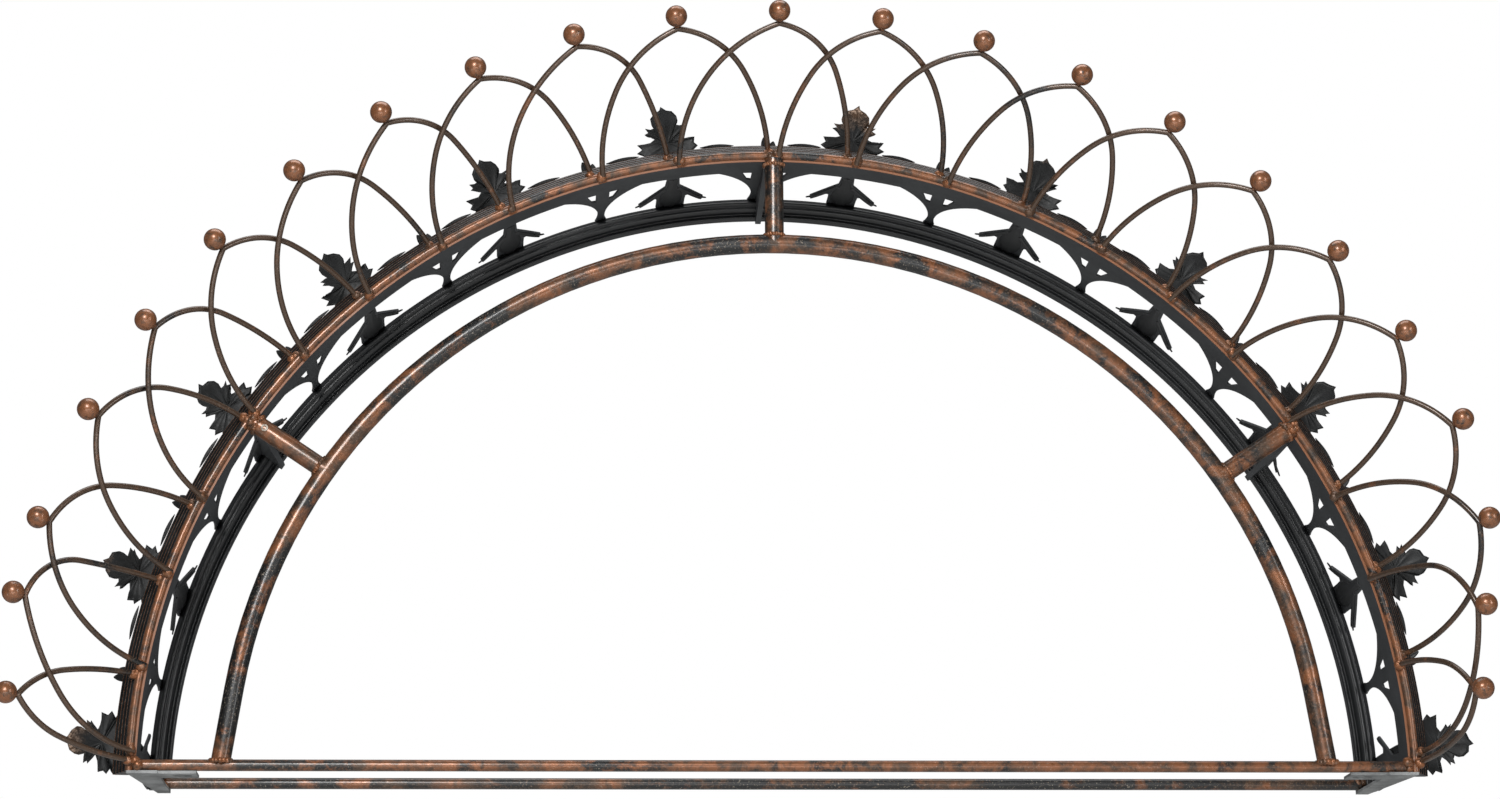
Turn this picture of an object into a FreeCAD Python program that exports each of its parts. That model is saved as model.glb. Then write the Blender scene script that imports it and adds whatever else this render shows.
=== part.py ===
import FreeCAD, Part
import math
import os
from FreeCAD import Vector

# A half-round garden arch frame of welded steel: an inner ring on two straight base rods, three
# spokes, a pierced band with a moulded rail behind it, a fluted cornice, a crown of crossing wire
# loops with ball tips, and pressed leaves behind the cornice. Millimetres and degrees.
# +X is to the right, +Y goes back from the front ring, +Z is up. Angles round the arch are counted
# from the top, positive to the right. The origin is midway between the two mounting holes, in the
# plane that the arch stands on.

# ---- driving dimensions ----
ring_radius = 380.0         # centreline of the inner ring
ring_tube_dia = 13.5
ring_tube_wall = 1.2
ring_end_angle = 81.0       # the ring's ends run straight from here
spoke_angle = 56.0          # the two side spokes, either side of the top one

band_radius = 441.0         # inner face of the pierced band
band_sheet = 1.5
band_depth = 100.0
front_rod_dia = 6.0         # rod round the outside of the band's front edge
base_rod_dia = 8.0

plate_thickness = 2.0       # end plates that the arch stands on
plate_width = 21.0          # at its front end
plate_taper = 12.0          # how much narrower its back end is
tab_length = 26.5           # inwards, past the end plate
tab_width = 24.0
hole_dia = 13.5
hole_setback = 10.0         # behind the plane of the front ring
hole_inset = 16.0           # from the end plate's inner edge

rail_width = 15.0           # moulded back rail, radially
rail_depth = 12.0
rail_overhang = 5.0         # past the band's back edge
rail_step = 2.6             # from the band in to the rail's bead
rail_bead = 3.4
rail_lip = 2.6
rail_wall = 4.5             # depth of the band's seat on the rail

gusset_thickness = 4.0
gusset_front_height = 5.0
gusset_back_height = 17.5

pitch = 8.0                 # of the foot pairs, leaves and windows
tip_pitch = 7.9             # of the loops' tips
strip_width = 27.0          # unpierced strip behind the front ring
pillar_width = 9.0
pillar_flare = 29.0         # half width of a pillar's head
strut_neck = 7.8
strut_foot = 21.0
arm_reach = 24.0            # of a strut's two arms, which end short of the rail

ridge_count = 4             # cornice
ridge_pitch = 4.0
ridge_rise = 2.5
ridge_groove = 1.1

wire_dia = 4.0
loop_height = 102.0         # foot line to the wire's apex
end_loop_height = 91.0
loop_lean = 40.0            # forwards from the radial direction
crossing_gap = 1.2          # between two wires where they cross
crossing_height = 0.75      # of the loop's height
foot_stand_off = 0.5        # from the front ring to the end of a loop's leg
foot_spacing = 6.4          # between the two feet of a pair
last_pair_angle = 88.4
loop_shoulder = 0.76        # of the half width
shoulder_height = 0.62      # of the loop's height
ball_dia = 15.3
last_loop = 11              # loops are numbered from -11 to 11

leaf_thickness = 2.0
leaf_rise = 49.5            # of the tip, outside the band
leaf_half_span = 22.0
leaf_clearance = 2.0        # behind the cornice
trim_thickness = 2.0        # buds and leaflets
leaflet_offset = 4.3        # degrees, from a leaf to the leaflets beside it

eyelet_dia = 5.0
eyelet_hole = 2.4
eyelet_height = 0.8
eyelet_setback = 9.0        # from the band in to the eyelet

# Foot pairs that were welded off their place: number and degrees.
misplaced_pairs = {
    -10: -0.7, -8: -0.7, -7: 0.3, -6: -0.6, -5: -0.6, -4: -0.5, -3: -1.2, -2: -0.4, -1: -1.2,
    1: -0.7, 4: -0.6, 5: -0.7, 6: -1.0, 7: -1.0, 8: -0.9, 9: -0.7, 10: -0.5,
}
# The window left of the top spoke is shorter: pillar, side and by how much.
short_windows = {(0, -1): 9.0}
# Gussets stand beside their spoke, not behind it: sideways shift.
gusset_shifts = {"left": 0.0, "top": -5.0, "right": 5.0}
# Hand-bent loops: number, further lean in degrees, and sideways shift of the tip.
bent_loops = {-10: (0.0, 12.0), -9: (0.0, -8.0), 9: (13.0, 0.0), 10: (27.0, -10.0), 11: (34.0, 0.0)}

# ---- values that follow from them ----
ring_tube_r = ring_tube_dia / 2
front_rod_r = front_rod_dia / 2
base_rod_r = base_rod_dia / 2
wire_r = wire_dia / 2
ball_r = ball_dia / 2
front_y = -hole_setback
back_y = front_y + band_depth
band_outer = band_radius + band_sheet
rod_ring_radius = band_outer + front_rod_r
rail_back = back_y + rail_overhang
rail_front = rail_back - rail_depth
rail_inner = band_radius - rail_width
base_rod_z = plate_thickness + base_rod_r
plate_inner = rail_inner
cornice_front = front_y + front_rod_r
cornice_back = cornice_front + ridge_count * ridge_pitch + 2.0
cornice_top = rod_ring_radius + front_rod_r + ridge_count * ridge_rise
half_cell = band_radius * math.radians(pitch)
reach = cornice_top + leaf_rise + loop_height
crossing_radius = rod_ring_radius + crossing_height * loop_height * math.cos(math.radians(loop_lean))
crossing_offset = crossing_radius * math.sin(math.radians(pitch / 2))
# Each loop is turned a little, so that its left leg passes in front of its neighbour's right leg.
loop_tilt = math.degrees(math.asin((wire_dia + crossing_gap) / (2 * crossing_offset)))
foot_height = front_rod_r + foot_stand_off
foot_gap = math.degrees(foot_spacing / 2 / rod_ring_radius)
tip_radius = rod_ring_radius + loop_height * math.cos(math.radians(loop_lean))
ring_foot_z = base_rod_z + base_rod_r / 2
back_rod_y = back_y - base_rod_r + 1.0

NO_TURN = Vector(0, 0, 0)
ARCH_AXIS = Vector(0, 1, 0)


def turned(shape, angle):
    copy = shape.copy()
    copy.rotate(NO_TURN, ARCH_AXIS, angle)
    return copy


def face_of(points):
    return Part.Face(Part.makePolygon(points + points[:1]))


def above(shape, height):
    """What lies over a level plane."""
    size = 2 * reach
    corner = Vector(-size, -size, height)
    return shape.common(Part.makeBox(2 * size, 2 * size, size, corner))


def swept(profile, start=-90.0, end=90.0):
    """Sweeps an outline of (radius, y) points round the arch."""
    face = face_of([Vector(0, y, radius) for radius, y in profile])
    return turned(face, start).revolve(NO_TURN, ARCH_AXIS, end - start)


def round_section(radius, y, r, start=-90.0, end=90.0):
    circle = Part.Face(Part.Wire(Part.makeCircle(r, Vector(0, y, radius), Vector(1, 0, 0))))
    return turned(circle, start).revolve(NO_TURN, ARCH_AXIS, end - start)


def largest(shape):
    return max(shape.Solids, key=lambda solid: solid.Volume)


def base_rod(y, end):
    return Part.makeCylinder(base_rod_r, 2 * end, Vector(-end, y, base_rod_z), Vector(1, 0, 0))


# ---- main frame ----
def make_front_ring():
    return above(round_section(rod_ring_radius, front_y, front_rod_r), plate_thickness)


def ring_solid(r):
    """The inner ring's arc and its two straight ends, as a solid bar of radius r."""
    bar = round_section(ring_radius, front_y, r, -ring_end_angle, ring_end_angle)
    length = ring_radius / math.tan(math.radians(ring_end_angle))
    start = Vector(0, front_y, ring_radius)
    ends = []
    for side in (-1, 1):
        end = Part.makeCylinder(r, length, start, Vector(side, 0, 0))
        ends.append(turned(end, side * ring_end_angle))
    return bar.fuse(ends)


def make_inner_ring(front_base_rod):
    tube = above(ring_solid(ring_tube_r).cut(ring_solid(ring_tube_r - ring_tube_wall)), ring_foot_z)
    return largest(tube.cut(front_base_rod))


def make_back_rail():
    """A channel with a bead on its outer edge, a broad face, a cove and an inner lip."""
    bead = band_radius - rail_step
    face = bead - rail_bead
    cove = rail_inner + rail_lip
    half_bead = rail_bead / 2
    profile = [
        (band_radius, rail_back),
        (band_radius, rail_front + rail_wall),
        (bead, rail_front + 0.4 * rail_bead),
        (bead - 0.15 * rail_bead, rail_front),
        (bead - half_bead, rail_front - 0.2),
        (face, rail_front + 1.2),
        (cove + 1.6, rail_front + 3.4),
        (cove + 0.4, rail_front + 6.4),
        (cove - 0.4, rail_front + 5.2),
        (rail_inner, rail_front + 5.2),
        (rail_inner, rail_back),
    ]
    return above(swept(profile), plate_thickness)


def make_cornice():
    """Fine ridges that step outwards behind the front ring."""
    profile = [(band_outer, cornice_front), (rod_ring_radius + 1.0, cornice_front)]
    for i in range(ridge_count):
        crest = rod_ring_radius + front_rod_r + (i + 1) * ridge_rise
        y = cornice_front + i * ridge_pitch
        profile.append((crest - ridge_groove, y + 0.35 * ridge_pitch))
        profile.append((crest, y + 0.6 * ridge_pitch))
        profile.append((crest, y + 0.85 * ridge_pitch))
        profile.append((crest - ridge_groove, y + ridge_pitch))
    profile += [(cornice_top, cornice_back - 1.4), (cornice_top, cornice_back), (band_outer, cornice_back)]
    return above(swept(profile), plate_thickness)


def make_spoke(angle, neighbours):
    length = band_outer - ring_radius
    outer = Part.makeCylinder(ring_tube_r, length, Vector(0, front_y, ring_radius))
    inner = Part.makeCylinder(ring_tube_r - ring_tube_wall, length, Vector(0, front_y, ring_radius))
    ring_hull = round_section(ring_radius, front_y, ring_tube_r)
    tube = turned(outer.cut(inner), angle)
    return largest(tube.cut([ring_hull] + neighbours))


def make_gusset(angle, shift, neighbours):
    """A radial rib by a spoke, from the band's front to past the rail's inner edge."""
    start = front_y + ring_tube_r + 0.5
    points = [
        (band_radius, start),
        (band_radius - gusset_front_height, start),
        (band_radius - gusset_back_height, rail_front + 2.0),
        (band_radius - gusset_back_height, rail_back - 2.0),
        (rail_inner + 0.5, rail_back),
        (band_radius, rail_back),
    ]
    side = shift - gusset_thickness / 2
    face = face_of([Vector(side, y, radius) for radius, y in points])
    rib = turned(face.extrude(Vector(gusset_thickness, 0, 0)), angle)
    return largest(rib.cut(neighbours))


def make_end_plate(side):
    """One of the two plates that the arch stands on, with its mounting tab."""
    front = front_y - base_rod_r
    outer = plate_inner + plate_width
    corners = [
        Vector(plate_inner, front, 0),
        Vector(outer, front, 0),
        Vector(outer - plate_taper, rail_back, 0),
        Vector(plate_inner, rail_back, 0),
    ]
    strip = face_of(corners).extrude(Vector(0, 0, plate_thickness))
    tab_corner = Vector(plate_inner - tab_length, -tab_width / 2, 0)
    tab = Part.makeBox(tab_length, tab_width, plate_thickness, tab_corner)
    plate = strip.fuse(tab).removeSplitter()
    hole = Part.makeCylinder(hole_dia / 2, plate_thickness, Vector(plate_inner - hole_inset, 0, 0))
    plate = plate.cut(hole)
    return plate if side > 0 else plate.mirror(NO_TURN, Vector(1, 0, 0))


# ---- pierced band ----
def window_faces(cell, extra):
    """The openings between a pillar and the strut's middle, as (tangential, y) outlines at the band's top."""
    top = front_y + strip_width
    bottom = back_y + 1.0
    depth = bottom - top
    pillar = pillar_width / 2 + extra
    head = pillar_flare + extra
    strut = cell - strut_foot / 2
    tip = cell - arm_reach

    def at(s, y):
        return Vector(s, y, band_radius)

    def share(part):
        return top + part * depth

    flare = head - pillar
    neck = cell - strut_neck / 2
    arch = Part.Arc(at(pillar, bottom), at(pillar + 0.27 * flare, share(0.30)), at(head, top))
    arm_edge = [
        at(head, top),
        at(neck - 0.6, top),
        at(neck - 1.6, share(0.28)),
        at(tip, share(0.76)),
        at(tip + 0.8, share(0.84)),
        at(tip + 3.4, share(0.80)),
        at(tip + 8.5, share(0.66)),
    ]
    pocket_end = at(strut - 0.3, share(0.68))
    pocket = Part.Arc(arm_edge[-1], at(tip + 11.3, share(0.63)), pocket_end)
    foot = [pocket_end, at(strut, share(0.76)), at(strut, bottom), at(pillar, bottom)]
    edges = [arch.toShape()] + Part.makePolygon(arm_edge).Edges + [pocket.toShape()]
    main = Part.Face(Part.Wire(edges + Part.makePolygon(foot).Edges))
    slant = face_of([
        at(pillar + 0.4, top + 0.8),
        at(pillar + 0.32 * flare, top + 0.8),
        at(pillar + 0.14 * flare, share(0.24)),
        at(pillar + 0.4, share(0.26)),
    ])
    return [main, slant]


def window_blocks(n, side):
    """The cutters on one side of pillar n. A strut stands at its foot pair, off its place or not."""
    off_place = side * band_radius * math.radians(misplaced_pairs.get(n + side, 0.0))
    blocks = []
    for face in window_faces(half_cell + off_place, short_windows.get((n, side), 0.0)):
        block = face.extrude(Vector(0, 0, 16 * band_sheet))
        block.translate(Vector(0, 0, -10 * band_sheet))
        if side < 0:
            block = block.mirror(NO_TURN, Vector(1, 0, 0))
        blocks.append(turned(block, n * pitch))
    return blocks


def make_band_panels():
    """Four panels that meet at the spokes."""
    cutters = []
    for n in range(-10, 11, 2):
        cutters += window_blocks(n, -1) + window_blocks(n, 1)
    profile = [(band_radius, front_y), (band_outer, front_y), (band_outer, back_y), (band_radius, back_y)]
    edges = [-90.0, -spoke_angle, 0.0, spoke_angle, 90.0]
    panels = []
    for start, end in zip(edges[:-1], edges[1:]):
        sheet = above(swept(profile, start, end), plate_thickness)
        panels.append(largest(sheet.cut(cutters)))
    return panels


# ---- wire loops and balls ----
def pair_angle(n):
    if abs(n) < last_loop:
        return n * pitch + misplaced_pairs.get(n, 0.0)
    return math.copysign(last_pair_angle, n)


def foot_angles(n):
    """Angles of a loop's left and right foot."""
    if abs(n) < last_loop:
        return pair_angle(n - 1) + foot_gap, pair_angle(n + 1) - foot_gap
    inner = pair_angle(math.copysign(last_loop - 1, n)) + math.copysign(foot_gap, n)
    outer = pair_angle(n) + math.copysign(foot_gap, n)
    return min(inner, outer), max(inner, outer)


def leg(side, half, height, shift):
    """Half a loop in its own plane: a stub, an upright arc to the shoulder, a flatter arc to the tip."""
    foot = Vector(side * half, 0, 0)
    shoulder = Vector(side * loop_shoulder * half + 0.5 * shift, 0, shoulder_height * height)
    apex = Vector(shift, 0, height)
    inward = side * (foot.x - shoulder.x)
    turn = 2 * math.atan2(inward, shoulder.z)
    radius = shoulder.z / math.sin(turn)
    centre = Vector(foot.x - side * radius, 0, 0)
    middle = centre + Vector(side * radius * math.cos(turn / 2), 0, radius * math.sin(turn / 2))
    chord = apex - shoulder
    chord_turn = math.atan2(-side * chord.x, chord.z) - turn
    normal = Vector(side * chord.z, 0, -side * chord.x).normalize()
    bulge = chord.Length / 2 * math.tan(chord_turn / 2)
    middle_top = shoulder + chord * 0.5 + normal * bulge
    path = Part.Wire([
        Part.makeLine(foot - Vector(0, 0, foot_height), foot),
        Part.Arc(foot, middle, shoulder).toShape(),
        Part.Arc(shoulder, middle_top, apex).toShape(),
    ])
    section = Part.Wire(Part.makeCircle(wire_r, foot - Vector(0, 0, foot_height), Vector(0, 0, 1)))
    return path.makePipeShell([section], True, False)


def place_on_ring(shape, centre_angle, half_angle, lean):
    """Tilts and leans a loop's parts, and stands them on the front ring."""
    lean_r = math.radians(lean)
    foot_radius = rod_ring_radius + foot_height * math.cos(lean_r)
    foot_y = front_y - foot_height * math.sin(lean_r)
    shape.rotate(NO_TURN, Vector(0, 0, 1), loop_tilt)
    shape.rotate(NO_TURN, Vector(1, 0, 0), lean)
    shape.translate(Vector(0, foot_y, foot_radius * math.cos(math.radians(half_angle))))
    shape.rotate(NO_TURN, ARCH_AXIS, centre_angle)
    return shape


def make_loop(n, neighbours):
    """One wire loop and its ball."""
    more_lean, shift = bent_loops.get(n, (0.0, 0.0))
    height = loop_height if abs(n) < last_loop else end_loop_height
    left, right = foot_angles(n)
    half_angle = (right - left) / 2
    half = rod_ring_radius * math.sin(math.radians(half_angle))
    centre_angle = (left + right) / 2
    if abs(n) < last_loop:
        shift += tip_radius * math.radians(n * tip_pitch - centre_angle)
    wire = leg(-1, half, height, shift).fuse(leg(1, half, height, shift))
    wire = wire.fuse(Part.makeSphere(wire_r, Vector(shift, 0, height))).removeSplitter()
    ball = Part.makeSphere(ball_r, Vector(shift, 0, height + ball_r + 0.9 * wire_r)).cut(wire)
    wire = place_on_ring(wire, centre_angle, half_angle, loop_lean + more_lean)
    ball = place_on_ring(largest(ball), centre_angle, half_angle, loop_lean + more_lean)
    return largest(wire.cut(neighbours)), ball


# ---- leaves and small trim ----
def leaf_angle(n):
    """A leaf stands behind its foot pair. The two end leaves stand a little above theirs."""
    return pair_angle(n) if abs(n) < last_loop else n * tip_pitch


def make_leaf(angle):
    """A pressed leaf: its foot lies on the band's outer face, and its tip curls out past the cornice."""
    clear = cornice_back + leaf_clearance
    tip = band_outer + leaf_rise
    under = [
        (band_outer, rail_back - 2.0),
        (band_outer, clear + 14.0),
        (band_outer + 2.0, clear + 5.0),
        (cornice_top, clear),
        (cornice_top + 0.5 * (tip - cornice_top), clear - 4.0),
        (tip, clear - 13.0),
    ]
    over = [
        (tip + 0.8, clear - 13.0 + leaf_thickness),
        (cornice_top + 0.5 * (tip - cornice_top) + 0.8, clear - 4.0 + leaf_thickness),
        (cornice_top + 0.6, clear + leaf_thickness),
        (band_outer + 2.0 + leaf_thickness, clear + 5.0 + 0.7 * leaf_thickness),
        (band_outer + leaf_thickness, clear + 14.0),
        (band_outer + leaf_thickness, rail_back - 2.0),
    ]
    spread = math.degrees(leaf_half_span / cornice_top) + 1.0
    blade = swept(under + over, -spread, spread)
    head = [
        (0.65 * leaf_half_span, cornice_top - 6),
        (leaf_half_span, cornice_top + 3),
        (0.95 * leaf_half_span, cornice_top + 8),
        (0.4 * leaf_half_span, cornice_top + 9),
        (0.65 * leaf_half_span, cornice_top + 17),
        (0.4 * leaf_half_span, cornice_top + 19),
        (0.45 * leaf_half_span, tip - 9),
        (0.28 * leaf_half_span, tip - 4),
        (0, tip + 2),
    ]
    right = [(s, radius) for s, radius in head]
    left = [(-s, radius) for s, radius in reversed(head[:-1])]
    stem = strut_neck / 2 - 0.5
    stem_ends = [(stem, band_radius - 6), (stem, cornice_top - 8)]
    outline = stem_ends + right + left + [(-s, radius) for s, radius in reversed(stem_ends)]
    rear = rail_back - front_y
    pattern = face_of([Vector(s, front_y, radius) for s, radius in outline]).extrude(Vector(0, rear, 0))
    return above(turned(blade.common(pattern), angle), plate_thickness)


def trim_plate(outline, angle):
    """A small flat plate that stands on the cornice's back face."""
    face = face_of([Vector(s, cornice_back, cornice_top + up) for s, up in outline])
    return turned(face.extrude(Vector(0, trim_thickness, 0)), angle)


def make_buds():
    outline = [(-4, -7), (4, -7), (6, 1), (3, 7), (0, 12), (-3, 7), (-6, 1)]
    return Part.Compound([trim_plate(outline, pair_angle(n)) for n in range(-10, 11, 2)])


def make_leaflets():
    """Lens-shaped leaflets that flank the leaves."""
    outline = [(-13, 1), (-7, -3), (-7, -6), (7, -6), (7, -3), (13, 1), (6, 5.5), (-6, 5.5)]
    angles = [pair_angle(n) + side * leaflet_offset for n in range(-9, 10, 2) for side in (-1, 1)]
    return Part.Compound([trim_plate(outline, angle) for angle in angles])


def make_eyelet(spoke_hull):
    """A vent eyelet near the outer end of the left spoke."""
    radius = band_radius - eyelet_setback
    base = Vector(0, front_y - ring_tube_r - eyelet_height, radius)
    depth = 2 * eyelet_height
    washer = Part.makeCylinder(eyelet_dia / 2, depth, base, ARCH_AXIS)
    washer = washer.cut(Part.makeCylinder(eyelet_hole / 2, depth, base, ARCH_AXIS))
    return largest(turned(washer, -spoke_angle).cut(spoke_hull))


def save(name, shape):
    shape.exportStep("parts/" + name + ".step")


os.makedirs("parts", exist_ok=True)

front_ring = make_front_ring()
back_rail = make_back_rail()
cornice = make_cornice()
panels = make_band_panels()
front_base_rod = largest(base_rod(front_y, band_radius + 0.5).cut(panels + [front_ring]))
back_base_rod = largest(base_rod(back_rod_y, rail_inner + 2.0).cut(back_rail))

save("front_ring", front_ring)
save("back_rail", back_rail)
save("cornice", cornice)
save("front_base_rod", front_base_rod)
save("back_base_rod", back_base_rod)
save("inner_ring", make_inner_ring(front_base_rod))
for i, panel in enumerate(panels):
    save("band_panel_%d" % (i + 1), panel)
for name, side in (("left", -1), ("right", 1)):
    save("end_plate_" + name, make_end_plate(side))
spokes = []
for name, angle in (("left", -spoke_angle), ("top", 0.0), ("right", spoke_angle)):
    spoke = make_spoke(angle, panels + [front_ring])
    spokes.append(spoke)
    save("spoke_" + name, spoke)
    save("gusset_" + name, make_gusset(angle, gusset_shifts[name], panels + [back_rail]))

balls = []
for number, n in enumerate(range(-last_loop, last_loop + 1), start=1):
    loop, ball = make_loop(n, [front_ring, cornice, front_base_rod] + panels + spokes)
    save("loop_%02d" % number, loop)
    balls.append(ball)
save("ball_tips", Part.Compound(balls))

for number, n in enumerate(range(-last_loop, last_loop + 1, 2), start=1):
    save("leaf_%02d" % number, make_leaf(leaf_angle(n)))
save("buds", make_buds())
save("leaflets", make_leaflets())
spoke_hull = Part.makeCylinder(ring_tube_r, band_outer - ring_radius, Vector(0, front_y, ring_radius))
save("vent_eyelet", make_eyelet(turned(spoke_hull, -spoke_angle)))
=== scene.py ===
import math
import random

import bmesh
import bpy
from mathutils import Euler, Matrix, Vector


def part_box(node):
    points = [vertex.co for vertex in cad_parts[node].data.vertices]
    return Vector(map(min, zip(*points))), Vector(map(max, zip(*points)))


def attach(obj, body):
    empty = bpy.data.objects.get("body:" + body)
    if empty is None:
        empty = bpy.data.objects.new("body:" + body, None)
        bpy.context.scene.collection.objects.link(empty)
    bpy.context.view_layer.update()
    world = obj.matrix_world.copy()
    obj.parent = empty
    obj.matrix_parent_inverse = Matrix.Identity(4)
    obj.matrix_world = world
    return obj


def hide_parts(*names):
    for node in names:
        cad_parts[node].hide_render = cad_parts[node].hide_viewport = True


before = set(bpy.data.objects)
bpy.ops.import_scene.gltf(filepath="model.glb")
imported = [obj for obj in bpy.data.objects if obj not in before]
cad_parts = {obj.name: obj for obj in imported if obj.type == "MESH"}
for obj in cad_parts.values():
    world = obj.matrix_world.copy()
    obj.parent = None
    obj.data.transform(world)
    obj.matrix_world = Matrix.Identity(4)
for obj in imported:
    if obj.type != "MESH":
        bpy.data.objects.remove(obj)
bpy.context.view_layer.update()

bl_info = {
    "name": "Half-round arch frame",
    "version": (1, 0, 0),
    "blender": (4, 5, 0),
    "location": "View3D > Sidebar > Arch frame",
    "description": "Dresses a welded half-round garden arch: welds, leaves, mouldings and finishes",
    "category": "Object",
}

MM = 0.001
BODY = "root"
FULL_TURN = 2 * math.pi

# ---- fixed sizes ----
FOOT_REACH = 0.85               # of the front rod: how near its middle a loop's foot ends
BAND_SHEET = 1.5 * MM
BAND_STRIP = 27 * MM            # unpierced strip behind the front ring
RIDGE_STEPS = 12                # points across one ridge
RIDGE_GROOVE = 1.7 * MM
RIDGE_ROUNDNESS = 0.8
RIDGE_BACK = 0.3 * MM           # flat behind the last ridge
CREST_RUB_AND_HIGHLIGHT_DEPTH = 0.8 * MM         # from a ridge's crest down to where the rubbed copper and the painted crest highlight end
RAIL_SEAT = 4.5 * MM            # of the band on the rail
RAIL_BEAD = 1.7 * MM            # radii of the rail's bead, cove and lip
RAIL_COVE = 1.2 * MM
RAIL_LIP = 1.1 * MM
SWEEP_STEPS = 181
LEAF_GAP = 2.4 * MM             # from the cornice's back to a leaf's heart
STEM_GAP = 0.7 * MM             # from the band's outside to the middle of a leaf's stem
SMALL_LEAF_LIFT = 1.0 * MM
RELIEF_SHEET = 1.0 * MM
HAMMER_DEPTH, HAMMER_SCALE = 0.8 * MM, 55.0
WELD_LUMPINESS, WELD_LUMP_SCALE = 1.2 * MM, 330.0
SPOKE_BEADS, RING_BEADS = 22, 16
FLOOR_Z = -0.62                 # well below the base, because the camera looks up from below it
FLOOR_HALF = 9.0


# ---- sizes read from the frame ----
def outer_radius(node):
    """Half the width of a half-round node."""
    low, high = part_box(node)
    return (high.x - low.x) / 2


FRONT_RING_LOW, FRONT_RING_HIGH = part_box("front_ring")
FRONT_ROD = FRONT_RING_HIGH.y - FRONT_RING_LOW.y
FRONT_Y = (FRONT_RING_HIGH.y + FRONT_RING_LOW.y) / 2
BAND_OUTER = outer_radius("front_ring") - FRONT_ROD
ROD_RING = BAND_OUTER + FRONT_ROD / 2
PLATE_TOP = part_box("end_plate_left")[1].z
CORNICE_FRONT, CORNICE_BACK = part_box("cornice")[0].y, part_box("cornice")[1].y
CORNICE_TOP = outer_radius("cornice")
RAIL_FRONT, RAIL_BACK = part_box("back_rail")[0].y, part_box("back_rail")[1].y
RAIL_OUTER = outer_radius("back_rail")
RING_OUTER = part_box("inner_ring")[1].z
RING_FOOT = outer_radius("inner_ring")
RING_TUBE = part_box("inner_ring")[1].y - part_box("inner_ring")[0].y
BASE_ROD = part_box("front_base_rod")[1].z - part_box("front_base_rod")[0].z
BASE_ROD_Z = (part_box("front_base_rod")[1].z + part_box("front_base_rod")[0].z) / 2
BACK_ROD_Y = (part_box("back_base_rod")[1].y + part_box("back_base_rod")[0].y) / 2


# ---- what a user would change ----
class ArchSizes(bpy.types.PropertyGroup):
    spoke_angle: bpy.props.FloatProperty(
        name="Spoke angle", description="Angle from the top spoke to a side spoke",
        default=math.radians(56), subtype="ANGLE")
    rail_width: bpy.props.FloatProperty(
        name="Rail width", description="Radial width of the back rail",
        default=15 * MM, subtype="DISTANCE", unit="LENGTH")
    rail_step: bpy.props.FloatProperty(
        name="Rail step", description="From the band in to the back rail's bead",
        default=2.6 * MM, subtype="DISTANCE", unit="LENGTH")
    ridge_count: bpy.props.IntProperty(
        name="Ridges", description="Number of fine ridges on the cornice", default=4, min=1)
    ridge_rise: bpy.props.FloatProperty(
        name="Ridge rise", description="Step outwards from one cornice ridge to the next",
        default=2.5 * MM, subtype="DISTANCE", unit="LENGTH")
    bead_size: bpy.props.FloatProperty(
        name="Weld bead", description="Radius of a weld bead at a loop's foot",
        default=3.3 * MM, subtype="DISTANCE", unit="LENGTH")
    leaf_height: bpy.props.FloatProperty(
        name="Leaf height", description="From the cornice's crest to a leaf's tip",
        default=34.5 * MM, subtype="DISTANCE", unit="LENGTH")
    leaflet_offset: bpy.props.FloatProperty(
        name="Leaflet offset", description="Angle from a leaf to the leaflets beside it",
        default=math.radians(4.3), subtype="ANGLE")
    sheet: bpy.props.FloatProperty(
        name="Leaf sheet", description="Thickness of the pressed leaves",
        default=1.3 * MM, subtype="DISTANCE", unit="LENGTH")


class ArchColours(bpy.types.PropertyGroup):
    copper: bpy.props.FloatVectorProperty(
        name="Copper", description="Brushed copper paint", subtype="COLOR", size=4,
        default=(0.255, 0.098, 0.040, 1))
    # pale copper: rubbed copper paint, also used for painted highlights on ridge crests and flecks
    pale_copper_and_highlight: bpy.props.FloatVectorProperty(
        name="Pale copper", description="Where the copper paint is rubbed", subtype="COLOR", size=4,
        default=(0.46, 0.335, 0.255, 1))
    brown: bpy.props.FloatVectorProperty(
        name="Brown", description="Thin copper over the black", subtype="COLOR", size=4,
        default=(0.078, 0.046, 0.028, 1))
    black: bpy.props.FloatVectorProperty(
        name="Black", description="The black undercoat", subtype="COLOR", size=4,
        default=(0.0055, 0.006, 0.006, 1))
    band_grey: bpy.props.FloatVectorProperty(
        name="Band grey", description="The matt inner face of the band", subtype="COLOR", size=4,
        default=(0.036, 0.039, 0.042, 1))
    primer: bpy.props.FloatVectorProperty(
        name="Primer", description="Grey primer on the end plates", subtype="COLOR", size=4,
        default=(0.30, 0.31, 0.31, 1))


def sizes():
    return bpy.context.scene.arch_sizes


def colours():
    return bpy.context.scene.arch_colours


# ---- places on the arch ----
def on_arch(angle, radius, y, across=0.0):
    """A point at an angle from the top, with an offset across, along the arch."""
    out = Vector((math.sin(angle), 0, math.cos(angle)))
    along = Vector((math.cos(angle), 0, -math.sin(angle)))
    return out * radius + along * across + Vector((0, y, 0))


def angle_of(point):
    """A point's angle round the arch, from the top."""
    return math.atan2(point.x, point.z)


def loop_ends(node):
    """A loop's left and right foot on the front ring, and its wire's tip."""
    feet = {-1: [], 1: []}
    points = [vertex.co.copy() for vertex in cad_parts[node].data.vertices]
    centre = angle_of(sum(points, Vector()) / len(points))
    for point in points:
        radial = math.hypot(point.x, point.z)
        if math.hypot(radial - ROD_RING, point.y - FRONT_Y) < FRONT_ROD * FOOT_REACH:
            feet[1 if angle_of(point) > centre else -1].append(point)
    left, right = (sum(feet[side], Vector()) / len(feet[side]) for side in (-1, 1))
    ground = (left + right) / 2
    return left, right, max(points, key=lambda point: (point - ground).length)


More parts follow.
